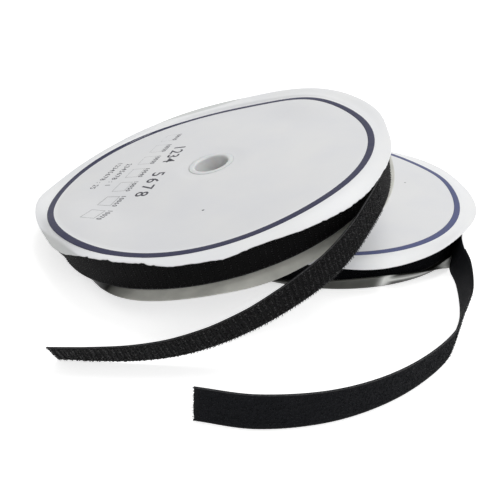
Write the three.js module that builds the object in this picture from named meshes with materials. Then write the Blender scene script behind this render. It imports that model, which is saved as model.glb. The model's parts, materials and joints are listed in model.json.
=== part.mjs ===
// A pair of hook and loop tape rolls, in millimetres, +Z up.
// The loop roll lies flat on the table. The hook roll leans on its rim, low side on the table.
// Each roll is a core held between two thin flange discs by a hub tube with rolled lips, and
// a pack of tape wound on the core. The discs are dished at the middle, so the lips lie sunk.
// The outer turn of each tape runs on as one strip into the free end that lies in front.
import * as THREE from 'three';
import { mergeVertices } from 'three/addons/utils/BufferGeometryUtils.js';

// Driving sizes of one roll. The discs stand past the outer turn's middle by the rim margin.
// The lip margin is the floor of the dish round the lips, and the core reaches past the dish.
const TAPE_WIDTH = 20;
const BASE_THICKNESS = 0.7;
const HOOK_PILE_HEIGHT = 0.9;
const LOOP_PILE_HEIGHT = 1.1;
const SELVAGE_WIDTH = 1.5;
const DISC_RADIUS = 125;
const DISC_THICKNESS = 0.7;
const RIM_MARGIN = 8;
const BORE_RADIUS = 12;
const HUB_WALL = 1.5;
const LIP_REACH = 3;
const LIP_THICKNESS = 0.6;
const LIP_MARGIN = 1.5;
const DISH_DEPTH = 1.2;
const DISH_SLOPE_WIDTH = 2;
const CORE_MARGIN = 1;

// Clearances
const SEAT_GAP = 0.3;
const TURN_GAP = 0.5;
const RIM_CLEARANCE = 1.8;

// How the hook roll leans on the loop roll
const LEAN_REACH = 78;
const SIDE_SHIFT = 34;
const LEAN_HEADING = THREE.MathUtils.degToRad(11);

// Fineness of the round forms
const RING_SIDES = 96;
const HUB_SIDES = 48;
const TURN_STEPS = 96;
const DEPART_STEPS = 8;
const TAIL_STEPS = 36;

const halfTape = TAPE_WIDTH / 2;
const faceHeight = halfTape + SEAT_GAP;
const discTop = faceHeight + DISC_THICKNESS;
const rollHeight = 2 * discTop;
const turnRadius = DISC_RADIUS - RIM_MARGIN;
const sleeveRadius = BORE_RADIUS + HUB_WALL;
const holeRadius = sleeveRadius + SEAT_GAP;
const lipRadius = sleeveRadius + LIP_REACH;
const dishFloorRadius = lipRadius + LIP_MARGIN;
const dishRadius = dishFloorRadius + DISH_SLOPE_WIDTH;
const coreRadius = dishRadius + CORE_MARGIN;
const dishInner = faceHeight - DISH_DEPTH;
const lipSeat = discTop - DISH_DEPTH + SEAT_GAP;
const lipTop = lipSeat + LIP_THICKNESS;

// The tilt is the slope from the low rim, on the table, to the loop roll's rim under the disc
const leanAngle = Math.atan((rollHeight + SEAT_GAP) / LEAN_REACH);
const uphill = new THREE.Vector3(Math.cos(LEAN_HEADING), Math.sin(LEAN_HEADING), 0);
const sideways = new THREE.Vector3(-uphill.y, uphill.x, 0);
const UP = new THREE.Vector3(0, 0, 1);

// A closed ring about Z from the corners of its section, given as [radius, height]
function ringGeometry(corners, sides) {
  const profile = [...corners, corners[0]].map(([radius, height]) => new THREE.Vector2(radius, height));
  const geometry = new THREE.LatheGeometry(profile, sides);
  geometry.rotateX(Math.PI / 2);
  return merged(geometry);
}

function merged(geometry) {
  geometry.deleteAttribute('normal');
  geometry.deleteAttribute('uv');
  const solid = mergeVertices(geometry);
  solid.computeVertexNormals();
  return solid;
}

function finish(color, roughness) {
  return new THREE.MeshStandardMaterial({ color, roughness, metalness: 0, flatShading: true });
}

function named(name, geometry, material) {
  const mesh = new THREE.Mesh(geometry, material);
  mesh.name = name;
  return mesh;
}

// A flange disc above or below the middle of the roll, dished towards the core around its hole
function discGeometry(side) {
  const section = [
    [holeRadius, dishInner],
    [dishFloorRadius, dishInner],
    [dishRadius, faceHeight],
    [DISC_RADIUS, faceHeight],
    [DISC_RADIUS, discTop],
    [dishRadius, discTop],
    [dishFloorRadius, dishInner + DISC_THICKNESS],
    [holeRadius, dishInner + DISC_THICKNESS],
  ];
  const corners = section.map(([radius, height]) => [radius, side * height]);
  return ringGeometry(side > 0 ? corners : corners.reverse(), RING_SIDES);
}

// The hub is one tube whose two ends are rolled out over the dished middles of the discs
function hubGeometry() {
  return ringGeometry([
    [BORE_RADIUS, -lipSeat],
    [sleeveRadius, -lipTop],
    [lipRadius, -lipTop],
    [lipRadius, -lipSeat],
    [sleeveRadius, -lipSeat],
    [sleeveRadius, lipSeat],
    [lipRadius, lipSeat],
    [lipRadius, lipTop],
    [sleeveRadius, lipTop],
    [BORE_RADIUS, lipSeat],
  ], HUB_SIDES);
}

// The core round the hub, between the dished middles of the discs
function coreGeometry() {
  const end = dishInner - SEAT_GAP;
  return ringGeometry([
    [holeRadius, -end],
    [dishFloorRadius, -end],
    [coreRadius, -halfTape],
    [coreRadius, halfTape],
    [dishFloorRadius, end],
    [holeRadius, end],
  ], HUB_SIDES);
}

// The inner turns are a plain ring under the outer turn
function packGeometry(turnStart, thickness) {
  const innerRadius = coreRadius + SEAT_GAP;
  const outerRadius = turnStart - thickness / 2 - SEAT_GAP;
  return ringGeometry([
    [innerRadius, -halfTape],
    [outerRadius, -halfTape],
    [outerRadius, halfTape],
    [innerRadius, halfTape],
  ], RING_SIDES);
}

// The section of a tape, as [across, outward], with bare selvages beside the pile
function tapeSection(pileHeight) {
  const back = -(BASE_THICKNESS + pileHeight) / 2;
  const front = back + BASE_THICKNESS;
  const crown = front + pileHeight;
  const pileEdge = halfTape - SELVAGE_WIDTH;
  return [
    [-halfTape, back],
    [halfTape, back],
    [halfTape, front],
    [pileEdge, front],
    [pileEdge, crown],
    [-pileEdge, crown],
    [-pileEdge, front],
    [-halfTape, front],
  ];
}

// A strip through stations, each with its middle, its direction across and its outward direction
function stripGeometry(stations, section) {
  const positions = [];
  const indices = [];
  const corners = section.length;
  for (const { middle, across, outward } of stations) {
    for (const [alongWidth, alongThickness] of section) {
      const point = middle.clone();
      point.addScaledVector(across, alongWidth).addScaledVector(outward, alongThickness);
      positions.push(point.x, point.y, point.z);
    }
  }
  for (let step = 0; step + 1 < stations.length; step += 1) {
    for (let corner = 0; corner < corners; corner += 1) {
      const here = step * corners + corner;
      const beside = step * corners + (corner + 1) % corners;
      indices.push(here, here + corners, beside, beside, here + corners, beside + corners);
    }
  }
  const outline = section.map(([x, y]) => new THREE.Vector2(x, y));
  const last = (stations.length - 1) * corners;
  for (const [a, b, c] of THREE.ShapeUtils.triangulateShape(outline, [])) {
    indices.push(a, b, c);
    indices.push(last + c, last + b, last + a);
  }
  const geometry = new THREE.BufferGeometry();
  geometry.setAttribute('position', new THREE.Float32BufferAttribute(positions, 3));
  geometry.setIndex(indices);
  geometry.computeVertexNormals();
  return geometry;
}

// Stations on the outer turn, in the roll's own frame, wound clockwise as seen from above.
// The radius gains one pitch a turn. Past leaveAngle the strip bows out to clear the disc rims,
// and the higher its departPower, the later and the more steeply it does.
function turnStations(tape) {
  const stations = [];
  const startAngle = tape.leaveAngle + 2 * Math.PI + tape.lapAngle;
  const rimRadius = DISC_RADIUS + RIM_CLEARANCE;
  const place = (angle, radius, lean) => {
    const radial = new THREE.Vector3(Math.cos(angle), Math.sin(angle), 0);
    const across = UP.clone().multiplyScalar(Math.cos(lean)).addScaledVector(radial, Math.sin(lean));
    const outward = radial.clone().multiplyScalar(Math.cos(lean)).addScaledVector(UP, -Math.sin(lean));
    const foot = radial.clone().multiplyScalar(radius).addScaledVector(UP, -halfTape);
    stations.push({ middle: foot.addScaledVector(across, halfTape), across, outward });
  };
  for (let step = 0; step <= TURN_STEPS; step += 1) {
    const angle = THREE.MathUtils.lerp(startAngle, tape.leaveAngle, step / TURN_STEPS);
    place(angle, turnRadius - tape.pitch * (angle - tape.leaveAngle) / (2 * Math.PI), 0);
  }
  for (let step = 1; step <= DEPART_STEPS; step += 1) {
    const share = step / DEPART_STEPS;
    const angle = tape.leaveAngle - share * tape.departAngle;
    const radius = THREE.MathUtils.lerp(turnRadius, rimRadius, share ** tape.departPower);
    place(angle, radius, share * tape.rimLean);
  }
  return stations;
}

// Stations of the free end. Its lower edge follows a route down to the table and rests on it.
// Each route share holds x and y in disc radii from the roll's middle, height as a share of the
// height at the rim, and the lean of the strip away from the roll in degrees.
function tailStations(tape, roll, rimStations) {
  const lowerEdge = ({ middle, across }) => middle.clone().addScaledVector(across, -halfTape);
  const [before, rim] = rimStations;
  const rimPoint = lowerEdge(rim);
  const direction = rimPoint.clone().sub(lowerEdge(before)).normalize();
  const outwardAtRim = UP.clone().cross(direction).normalize();
  const upAtRim = direction.clone().cross(outwardAtRim);
  const points = [lowerEdge(before), rimPoint];
  const leans = [Math.atan2(rim.across.dot(outwardAtRim), rim.across.dot(upAtRim))];
  for (const [xShare, yShare, heightShare, leanDegrees] of tape.routeShares) {
    points.push(new THREE.Vector3(
      roll.position.x + xShare * DISC_RADIUS,
      roll.position.y + yShare * DISC_RADIUS,
      heightShare * rimPoint.z,
    ));
    leans.push(THREE.MathUtils.degToRad(leanDegrees));
  }
  const curve = new THREE.CatmullRomCurve3(points, false, 'centripetal');
  const spans = points.length - 1;
  const leanCurve = new THREE.CatmullRomCurve3(leans.map((lean) => new THREE.Vector3(lean, 0, 0)));
  const stations = [];
  for (let step = 1; step <= TAIL_STEPS; step += 1) {
    const share = step / TAIL_STEPS;
    const t = (1 + share * (spans - 1)) / spans;
    const foot = curve.getPoint(t);
    foot.z = Math.max(foot.z, 0);
    const along = curve.getTangent(t);
    const level = UP.clone().cross(along).normalize();
    const upright = along.clone().cross(level);
    const lean = leanCurve.getPoint(share).x;
    const across = upright.clone().multiplyScalar(Math.cos(lean)).addScaledVector(level, Math.sin(lean));
    const outward = level.clone().multiplyScalar(Math.cos(lean)).addScaledVector(upright, -Math.sin(lean));
    stations.push({ middle: foot.addScaledVector(across, halfTape), across, outward });
  }
  return stations;
}

// The whole strip in the table's frame: the outer turn, the way out past the rims, the free end
function tapeStations(tape, roll) {
  roll.updateMatrixWorld(true);
  const turn = turnStations(tape).map(({ middle, across, outward }) => ({
    middle: middle.applyMatrix4(roll.matrixWorld),
    across: across.transformDirection(roll.matrixWorld),
    outward: outward.transformDirection(roll.matrixWorld),
  }));
  return [...turn, ...tailStations(tape, roll, turn.slice(-2))];
}

// The least gap between stretches of the strip that lie a half turn or more apart, from its middles
function leastGap(stations, thickness) {
  let least = Infinity;
  const apart = Math.round(TURN_STEPS / 2);
  for (let inner = 0; inner < stations.length; inner += 1) {
    for (let outer = inner + apart; outer < stations.length; outer += 1) {
      least = Math.min(least, stations[inner].middle.distanceTo(stations[outer].middle));
    }
  }
  return least - thickness;
}

function makeTape(settings) {
  const thickness = BASE_THICKNESS + settings.pileHeight;
  const pitch = thickness + TURN_GAP;
  const turnsUnder = 1 + settings.lapAngle / (2 * Math.PI);
  return { ...settings, thickness, pitch, turnStart: turnRadius - pitch * turnsUnder };
}

const hookTape = makeTape({
  name: 'hook',
  pileHeight: HOOK_PILE_HEIGHT,
  leaveAngle: THREE.MathUtils.degToRad(21.5),
  departAngle: THREE.MathUtils.degToRad(55.5),
  departPower: 2,
  lapAngle: THREE.MathUtils.degToRad(20),
  rimLean: 0,
  routeShares: [
    [0.756, -0.727, 0.915, -10.5],
    [0.667, -0.862, 0.789, -6.5],
    [0.555, -0.973, 0.648, 0.5],
    [0.420, -1.055, 0.500, 9],
    [0.274, -1.112, 0.345, 17],
    [0.118, -1.149, 0.201, 22],
    [-0.044, -1.170, 0.089, 25],
    [-0.212, -1.181, 0.026, 27.5],
    [-0.384, -1.184, 0.002, 30],
    [-0.558, -1.185, 0, 33],
  ],
});

const loopTape = makeTape({
  name: 'loop',
  pileHeight: LOOP_PILE_HEIGHT,
  leaveAngle: THREE.MathUtils.degToRad(-28.5),
  departAngle: THREE.MathUtils.degToRad(17),
  departPower: 3,
  lapAngle: THREE.MathUtils.degToRad(20),
  rimLean: THREE.MathUtils.degToRad(20),
  routeShares: [
    [0.708, -0.852, 0.6, 13.5],
    [0.651, -1.117, 0, 8],
    [0.577, -1.280, 0, 3.5],
    [0.502, -1.438, 0, 0.5],
    [0.332, -1.617, 0, 1],
    [0.137, -1.756, 0, 0.5],
    [-0.086, -1.856, 0.1, -2],
    [-0.346, -1.902, 0.1, -5],
    [-0.579, -1.877, 0.1, -4],
  ],
});

function buildRoll(tape) {
  const roll = new THREE.Group();
  const card = finish(0xe8e9ec, 0.5);
  const plastic = finish(0xd9dad8, 0.4);
  const woven = finish(0x17181b, 0.9);
  roll.add(named(`${tape.name}_hub`, hubGeometry(), plastic));
  roll.add(named(`${tape.name}_core`, coreGeometry(), plastic.clone()));
  roll.add(named(`${tape.name}_top_disc`, discGeometry(1), card));
  roll.add(named(`${tape.name}_bottom_disc`, discGeometry(-1), card.clone()));
  roll.add(named(`${tape.name}_tape_pack`, packGeometry(tape.turnStart, tape.thickness), woven));
  return roll;
}

function buildStrip(tape, roll) {
  const stations = tapeStations(tape, roll);
  const gap = leastGap(stations.slice(0, TURN_STEPS + DEPART_STEPS + 1), tape.thickness);
  console.log(`${tape.name} strip, least gap to itself: ${gap.toFixed(2)} mm`);
  const strip = stripGeometry(stations, tapeSection(tape.pileHeight));
  return named(`${tape.name}_tape_strip`, strip, finish(0x1c1d21, 0.95));
}

// The loop roll lies on its lower disc, and the hook roll stands on the low edge of its own
const loopRoll = buildRoll(loopTape);
loopRoll.position.z = discTop;

const hookRoll = buildRoll(hookTape);
const lowRim = new THREE.Vector3();
hookRoll.quaternion.setFromAxisAngle(sideways, -leanAngle);
hookRoll.updateMatrixWorld(true);
lowRim.set(-DISC_RADIUS * uphill.x, -DISC_RADIUS * uphill.y, -discTop).applyMatrix4(hookRoll.matrixWorld);
const lowRimPlace = loopRoll.position.clone()
  .addScaledVector(uphill, -(DISC_RADIUS + LEAN_REACH))
  .addScaledVector(sideways, -SIDE_SHIFT);
hookRoll.position.set(lowRimPlace.x - lowRim.x, lowRimPlace.y - lowRim.y, -lowRim.z);

const object = new THREE.Group();
object.add(loopRoll, hookRoll, buildStrip(hookTape, hookRoll), buildStrip(loopTape, loopRoll));

// The origin is on the table, under the middle of the whole
const extent = new THREE.Box3().setFromObject(object, true);
const centre = extent.getCenter(new THREE.Vector3());
object.position.set(-centre.x, -centre.y, -extent.min.z);

export default object;
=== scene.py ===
"""The looks of a pair of hook and loop tape rolls, in metres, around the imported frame.

Each roll is two flexible card discs held by a moulded hub, with tape wound between them.
The tapes are modelled flat, pile and all, and then laid along the outer turn and the free end.
"""
import json
import math
import random

import bmesh
import bpy
import numpy as np
from mathutils import Matrix, Vector


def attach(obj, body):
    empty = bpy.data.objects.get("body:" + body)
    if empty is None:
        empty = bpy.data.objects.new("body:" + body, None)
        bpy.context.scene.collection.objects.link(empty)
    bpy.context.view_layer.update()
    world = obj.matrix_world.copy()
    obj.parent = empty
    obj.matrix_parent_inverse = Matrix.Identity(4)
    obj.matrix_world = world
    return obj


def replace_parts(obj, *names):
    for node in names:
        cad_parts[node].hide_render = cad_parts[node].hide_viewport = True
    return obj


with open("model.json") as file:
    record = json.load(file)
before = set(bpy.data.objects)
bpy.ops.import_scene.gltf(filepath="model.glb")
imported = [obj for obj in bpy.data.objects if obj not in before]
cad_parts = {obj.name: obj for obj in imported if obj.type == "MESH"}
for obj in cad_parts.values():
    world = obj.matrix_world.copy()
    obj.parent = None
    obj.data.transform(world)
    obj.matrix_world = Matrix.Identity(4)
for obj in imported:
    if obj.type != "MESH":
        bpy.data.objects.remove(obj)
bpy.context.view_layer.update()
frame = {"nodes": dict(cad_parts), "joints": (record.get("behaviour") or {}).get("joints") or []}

MM = 0.001

# Sizes of one roll, as its solids have them
TAPE_WIDTH = 20 * MM
BASE_THICKNESS = 0.7 * MM
SELVAGE_WIDTH = 1.5 * MM
DISC_RADIUS = 125 * MM
RIM_MARGIN = 8 * MM
BORE_RADIUS = 12 * MM
HUB_WALL = 1.5 * MM
SEAT_GAP = 0.3 * MM
TURN_GAP = 0.5 * MM
RIM_CLEARANCE = 1.8 * MM
LIP_REACH = 3 * MM
LIP_MARGIN = 1.5 * MM
CORE_MARGIN = 3 * MM

# Thinner than in the solids, with a shallower and wider dish round the hub
CARD_THICKNESS = 0.6 * MM
LIP_THICKNESS = 0.35 * MM
DISH_DEPTH = 0.6 * MM
DISH_SLOPE_WIDTH = 9 * MM

HALF_TAPE = TAPE_WIDTH / 2
FACE_HEIGHT = HALF_TAPE + SEAT_GAP
TURN_RADIUS = DISC_RADIUS - RIM_MARGIN
SLEEVE_RADIUS = BORE_RADIUS + HUB_WALL
HOLE_RADIUS = SLEEVE_RADIUS + SEAT_GAP
DISH_FLOOR_RADIUS = SLEEVE_RADIUS + LIP_REACH + LIP_MARGIN
DISH_RADIUS = DISH_FLOOR_RADIUS + DISH_SLOPE_WIDTH
CORE_RADIUS = DISH_FLOOR_RADIUS + CORE_MARGIN

# The print on the cards
RING_INNER = 107.9 * MM
RING_OUTER = 112.3 * MM
INK_THICKNESS = 0.02 * MM
INK_LIFT = 0.03 * MM
SPECK_RADIUS = 0.9 * MM
RING_SHIFT = (-1.4 * MM, -1.3 * MM)

# Camera, in the row frame
CAMERA_PLACE = Vector((-11.93, -359.92, 200.55)) * MM
CAMERA_YAW = math.radians(-0.01)
CAMERA_PITCH = math.radians(30.35)
CAMERA_ROLL = math.radians(3.09)
CAMERA_LENS = 39.93


def roll_matrix(joint_name):
    """Where a roll's own frame lies: its middle on the joint, its axis along the joint's axis."""
    joint = next(joint for joint in frame["joints"] if joint["name"] == joint_name)
    tilt = Vector((0, 0, 1)).rotation_difference(Vector(joint["axis"]))
    return Matrix.Translation(joint["pos_m"]) @ tilt.to_matrix().to_4x4()


def bump(angle, centre, width):
    """1 at the centre angle, falling smoothly to nothing past a few widths. Angles in degrees."""
    away = math.degrees((math.radians(angle - centre) + math.pi) % (2 * math.pi) - math.pi)
    return math.exp(-(away / width) ** 2)


def smooth_share(value, low, high):
    """Nothing up to the low value, 1 from the high one, with a smooth rise between."""
    share = min(max((value - low) / (high - low), 0), 1)
    return share * share * (3 - 2 * share)


def reach_and_angle(place, side=1):
    """A place on a roll as its distance from the axis and its angle in degrees. side is as for a card."""
    return place.xy.length, math.degrees(math.atan2(side * place.y, place.x)) % 360


# Materials

def new_material(name):
    material = bpy.data.materials.new(name)
    material.use_nodes = True
    tree = material.node_tree
    return material, tree, tree.nodes["Principled BSDF"]


def add(tree, kind, inputs=None, **settings):
    """A node with its settings and its input values or links."""
    node = tree.nodes.new(kind)
    for key, value in settings.items():
        setattr(node, key, value)
    for key, value in (inputs or {}).items():
        if isinstance(value, bpy.types.NodeSocket):
            tree.links.new(value, node.inputs[key])
        else:
            node.inputs[key].default_value = value
    return node


def calc(tree, operation, *values):
    """The result of a Math node on values or links."""
    return add(tree, "ShaderNodeMath", dict(enumerate(values)), operation=operation).outputs[0]


def blend(tree, share, first, second, kind="MIX"):
    """The second colour over the first by the share, or multiplied into it."""
    node = add(tree, "ShaderNodeMix", {0: share, 6: first, 7: second}, data_type="RGBA", blend_type=kind)
    return node.outputs[2]


def ramp(tree, factor, stops):
    """A colour that follows the factor through (place, colour) stops."""
    node = add(tree, "ShaderNodeValToRGB", {"Fac": factor})
    elements = node.color_ramp.elements
    while len(elements) < len(stops):
        elements.new(0.5)
    for element, (place, color) in zip(elements, stops):
        element.position = place
        element.color = (*color, 1)
    return node.outputs["Color"]


def ramp_into(tree, shader, factor, stops):
    tree.links.new(ramp(tree, factor, stops), shader.inputs["Base Color"])


def bump_into(tree, shader, height, strength, distance):
    node = add(tree, "ShaderNodeBump", {"Height": height, "Strength": strength, "Distance": distance})
    tree.links.new(node.outputs["Normal"], shader.inputs["Normal"])


def card_material(name, face, border):
    """Coated card: a greyer printed face inside the ring, a whiter border, and painted shade where it is bent
    or crushed.
    """
    material, tree, shader = new_material(name)
    painted_shade = add(tree, "ShaderNodeAttribute", attribute_name="painted_shade").outputs["Fac"]
    place = add(tree, "ShaderNodeUVMap", uv_map="card_place").outputs["UV"]
    reach = add(tree, "ShaderNodeVectorMath", {0: place}, operation="LENGTH").outputs["Value"]
    inside = add(tree, "ShaderNodeMapRange", {
        "Value": reach, "From Min": RING_INNER, "From Max": RING_OUTER,
    }).outputs["Result"]
    mottle = add(tree, "ShaderNodeTexNoise", {"Vector": place, "Scale": 22.0, "Detail": 4.0})
    grain = add(tree, "ShaderNodeTexNoise", {"Vector": place, "Scale": 1400.0, "Detail": 2.0})
    plain = ramp(tree, inside, [(0, face), (1, border)])
    tint = ramp(tree, mottle.outputs["Fac"], [(0.35, (0.955, 0.96, 0.975)), (0.65, (1, 1, 0.995))])
    # Painted shade: the card darkens where it is bent or crushed, standing in for the shading of those parts
    shade_paint = ramp(tree, painted_shade, [(0, (1, 1, 1)), (1, (0.78, 0.79, 0.77))])
    color = blend(tree, 1.0, blend(tree, 1.0, plain, tint, "MULTIPLY"), shade_paint, "MULTIPLY")
    tree.links.new(color, shader.inputs["Base Color"])
    gloss = add(tree, "ShaderNodeMapRange", {
        "Value": mottle.outputs["Fac"], "To Min": 0.36, "To Max": 0.48,
    }).outputs["Result"]
    tree.links.new(gloss, shader.inputs["Roughness"])
    shader.inputs["Specular IOR Level"].default_value = 0.35
    bump_into(tree, shader, grain.outputs["Fac"], 0.08, 0.02 * MM)
    return material


def film_material(name, color, crease, roughness, gloss):
    """The plastic film on the inner face of a card: clouded, with painted shade that darkens it nearly to
    black and a painted highlight that lightens it, each where its attribute on the card says so."""
    material, tree, shader = new_material(name)
    place = add(tree, "ShaderNodeUVMap", uv_map="card_place").outputs["UV"]
    painted_shade = add(tree, "ShaderNodeAttribute", attribute_name="painted_shade").outputs["Fac"]
    painted_highlight = add(tree, "ShaderNodeAttribute", attribute_name="painted_highlight").outputs["Fac"]
    cloud = add(tree, "ShaderNodeTexNoise", {"Vector": place, "Scale": 60.0, "Detail": 3.0})
    shade = tuple(channel * 0.72 for channel in color)
    clouded = ramp(tree, cloud.outputs["Fac"], [(0.3, shade), (0.7, color)])
    # Painted shade: the film goes nearly black where the card's shade attribute is set
    painted_dark = blend(tree, painted_shade, clouded, (0.006, 0.006, 0.005, 1))
    # Painted highlight: the film takes the crease colour where the card's highlight attribute is set
    highlight_painted = blend(tree, painted_highlight, painted_dark, (*crease, 1))
    tree.links.new(highlight_painted, shader.inputs["Base Color"])
    shader.inputs["Roughness"].default_value = roughness
    shader.inputs["Specular IOR Level"].default_value = gloss
    bump_into(tree, shader, cloud.outputs["Fac"], 0.25, 0.4 * MM)
    return material


def ink_material(name, color, roughness):
    """Printing ink, a little thin here and there."""
    material, tree, shader = new_material(name)
    place = add(tree, "ShaderNodeTexCoord").outputs["Object"]
    wear = add(tree, "ShaderNodeTexNoise", {"Vector": place, "Scale": 240.0, "Detail": 5.0})
    faded = tuple(0.8 * channel + 0.02 for channel in color)
    ramp_into(tree, shader, wear.outputs["Fac"], [(0.42, color), (0.72, faded)])
    shader.inputs["Roughness"].default_value = roughness
    shader.inputs["Specular IOR Level"].default_value = 0.12
    return material


def plastic_material(name, color):
    """Moulded white plastic with faint flow marks."""
    material, tree, shader = new_material(name)
    place = add(tree, "ShaderNodeTexCoord").outputs["Object"]
    flow = add(tree, "ShaderNodeTexNoise", {"Vector": place, "Scale": 90.0, "Detail": 3.0})
    shade = tuple(channel * 0.93 for channel in color)
    ramp_into(tree, shader, flow.outputs["Fac"], [(0.35, shade), (0.7, color)])
    shader.inputs["Roughness"].default_value = 0.38
    shader.inputs["Subsurface Weight"].default_value = 0.12
    shader.inputs["Subsurface Scale"].default_value = 1.5 * MM
    bump_into(tree, shader, flow.outputs["Fac"], 0.15, 0.2 * MM)
    return material


WARP_PITCH = 0.45 * MM


def woven_material(name, dark, light, rib_pitch):
    """Woven ground: fine ribs across the tape and warp threads along it, following the weave."""
    material, tree, shader = new_material(name)
    weave = add(tree, "ShaderNodeUVMap", uv_map="weave").outputs["UV"]
    split = add(tree, "ShaderNodeSeparateXYZ", {0: weave})
    ribs = calc(tree, "SINE", calc(tree, "MULTIPLY", split.outputs["X"], 2 * math.pi / rib_pitch))
    warps = calc(tree, "SINE", calc(tree, "MULTIPLY", split.outputs["Y"], 2 * math.pi / WARP_PITCH))
    fuzz = add(tree, "ShaderNodeTexNoise", {"Vector": weave, "Scale": 2600.0, "Detail": 3.0})
    height = calc(tree, "ADD", calc(tree, "ADD", ribs, warps), fuzz.outputs["Fac"])
    ramp_into(tree, shader, fuzz.outputs["Fac"], [(0.35, dark), (0.75, light)])
    shader.inputs["Roughness"].default_value = 0.8
    shader.inputs["Specular IOR Level"].default_value = 0.12
    bump_into(tree, shader, height, 0.35, 0.08 * MM)
    return material


def filament_material(name, dark, light, roughness):
    """Nylon filament, a little lighter here and there. On the hooks the lighter patches are painted glints.
    """
    material, tree, shader = new_material(name)
    place = add(tree, "ShaderNodeTexCoord").outputs["Object"]
    patch = add(tree, "ShaderNodeTexNoise", {"Vector": place, "Scale": 900.0, "Detail": 2.0})
    ramp_into(tree, shader, patch.outputs["Fac"], [(0.48, dark), (0.72, light)])
    shader.inputs["Roughness"].default_value = roughness
    shader.inputs["Specular IOR Level"].default_value = 0.2
    return material


# Making and placing pieces

def mesh_from(bm, name):
    mesh = bpy.data.meshes.new(name)
    bm.to_mesh(mesh)
    bm.free()
    return mesh


def piece_of(mesh, name, body, materials, place=None, smooth=True):
    """A mesh becomes a piece that rides on its body, with its place put into the mesh."""
    if place is not None:
        mesh.transform(place)
    for material in materials:
        mesh.materials.append(material)
    mesh.polygons.foreach_set("use_smooth", [smooth] * len(mesh.polygons))
    piece = bpy.data.objects.new(name, mesh)
    bpy.context.scene.collection.objects.link(piece)
    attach(piece, body)
    return piece


def piece_from(bm, name, body, materials, place=None, smooth=True):
    return piece_of(mesh_from(bm, name), name, body, materials, place, smooth)


def spun(profile, steps):
    """A closed profile of (radius, height) points, spun about Z into a closed ring."""
    bm = bmesh.new()
    corners = [bm.verts.new((radius, 0, height)) for radius, height in profile]
    edges = [bm.edges.new(pair) for pair in zip(corners, corners[1:] + corners[:1])]
    bmesh.ops.spin(
        bm, geom=corners + edges, cent=(0, 0, 0), axis=(0, 0, 1), angle=2 * math.pi,
        steps=steps, use_merge=True, use_duplicate=False,
    )
    bmesh.ops.remove_doubles(bm, verts=bm.verts, dist=0.001 * MM)
    bmesh.ops.recalc_face_normals(bm, faces=bm.faces)
    return bm


def turn_over(bm, side):
    """A lower card and its print are modelled as upper ones and turned over. side is as for a card."""
    turn = Matrix.Rotation(0 if side > 0 else math.pi, 3, "X")
    bmesh.ops.rotate(bm, verts=bm.verts, cent=(0, 0, 0), matrix=turn)


# The cards. A card's lift is how far it stands off its flat place, away from the tape, and its loss is how
# much less far out it reaches. A crease is a straight one, given as its middle angle and its distance.

TAPE_EDGE = 118.3 * MM
FOLD_REACH = 114.5 * MM
LIP_CREASE = (222, 117.4 * MM)
BACK_CREASE = (99, 117.6 * MM)


def past_crease(reach, angle, crease):
    """How far a place lies beyond a crease."""
    middle, distance = crease
    return max(reach * math.cos(math.radians(angle - middle)) - distance, 0)


def near_rim(reach):
    """Grows to 1 at the rim from the printed ring's outer edge: this part of a card takes up its loss."""
    return smooth_share(reach, 112 * MM, DISC_RADIUS)


def past_fold(reach):
    """Grows to 1 at the rim from the fold of a rim that is folded under."""
    return max(reach - FOLD_REACH, 0) / (DISC_RADIUS - FOLD_REACH)


def hook_top_lift(reach, angle):
    """The upper card of the leaning roll is pulled up on two sides, sunk at its back and bent at its rim."""
    face = smooth_share(reach, 70 * MM, 108 * MM)
    rim = smooth_share(reach, 115 * MM, DISC_RADIUS)
    ring = 5.8 * bump(angle, 216.5, 30) + 4.3 * bump(angle, 46, 22) + 1.8 * bump(angle, 306, 24)
    edge = (
        6.0 * bump(angle, 47.5, 30) + 5.6 * bump(angle, 190, 16) + 3.1 * bump(angle, 240, 21)
        - 1.4 * bump(angle, 315, 13) - 0.8 * bump(angle, 143, 18)
    )
    sunk = 2.7 * bump(angle, 99, 54) * (1 - smooth_share(reach, 112.8 * MM, 115.6 * MM))
    lift = face * (ring * (1 - rim) - sunk) + rim * edge
    worn_reach = reach - hook_top_loss(reach, angle)
    bent = 0.1 * past_crease(reach, angle, BACK_CREASE) - 0.6 * past_crease(worn_reach, angle, LIP_CREASE)
    return lift * MM + bent


def hook_top_loss(reach, angle):
    """The upper card's rim is worn away in front, with nicks beside that, and a little on the right."""
    worn = 4.0 * smooth_share(angle, 212, 239) * (1 - smooth_share(angle, 254, 266))
    worn += 3.4 * bump(angle, 213, 14)
    nicks = 1.8 * bump(angle, 288, 7) - 1.8 * bump(angle, 278, 4) - 2.5 * bump(angle, 315, 15)
    right = 2.8 * bump(angle, 357, 13)
    return near_rim(reach) * (worn + nicks + right) * MM


def crushed(angle):
    """1 where the leaning roll stands on its lower card, falling to nothing on both sides of that."""
    return smooth_share(angle, 150, 170) * (1 - smooth_share(angle, 220, 262)) ** 1.5


def hook_bottom_lift(reach, angle):
    """The lower card's rim is folded under on the low side, where the leaning roll stands on it."""
    hanging = 2.0 * bump(angle, 287, 12) + 1.8 * bump(angle, 328, 10)
    droop = smooth_share(reach, TAPE_EDGE, DISC_RADIUS) * hanging
    under = (3.7 - 3.1 * bump(angle, 195, 14)) * crushed(angle) * past_fold(reach) ** 0.7
    return (under + droop) * MM


def hook_bottom_loss(reach, angle):
    """The folded rim reaches less far out, and the rim is a little short on the right."""
    folded = (13.5 - 10.5 * bump(angle, 195, 13)) * crushed(angle) * past_fold(reach)
    return (folded + 2.2 * bump(angle, 355, 13) * near_rim(reach)) * MM


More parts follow.
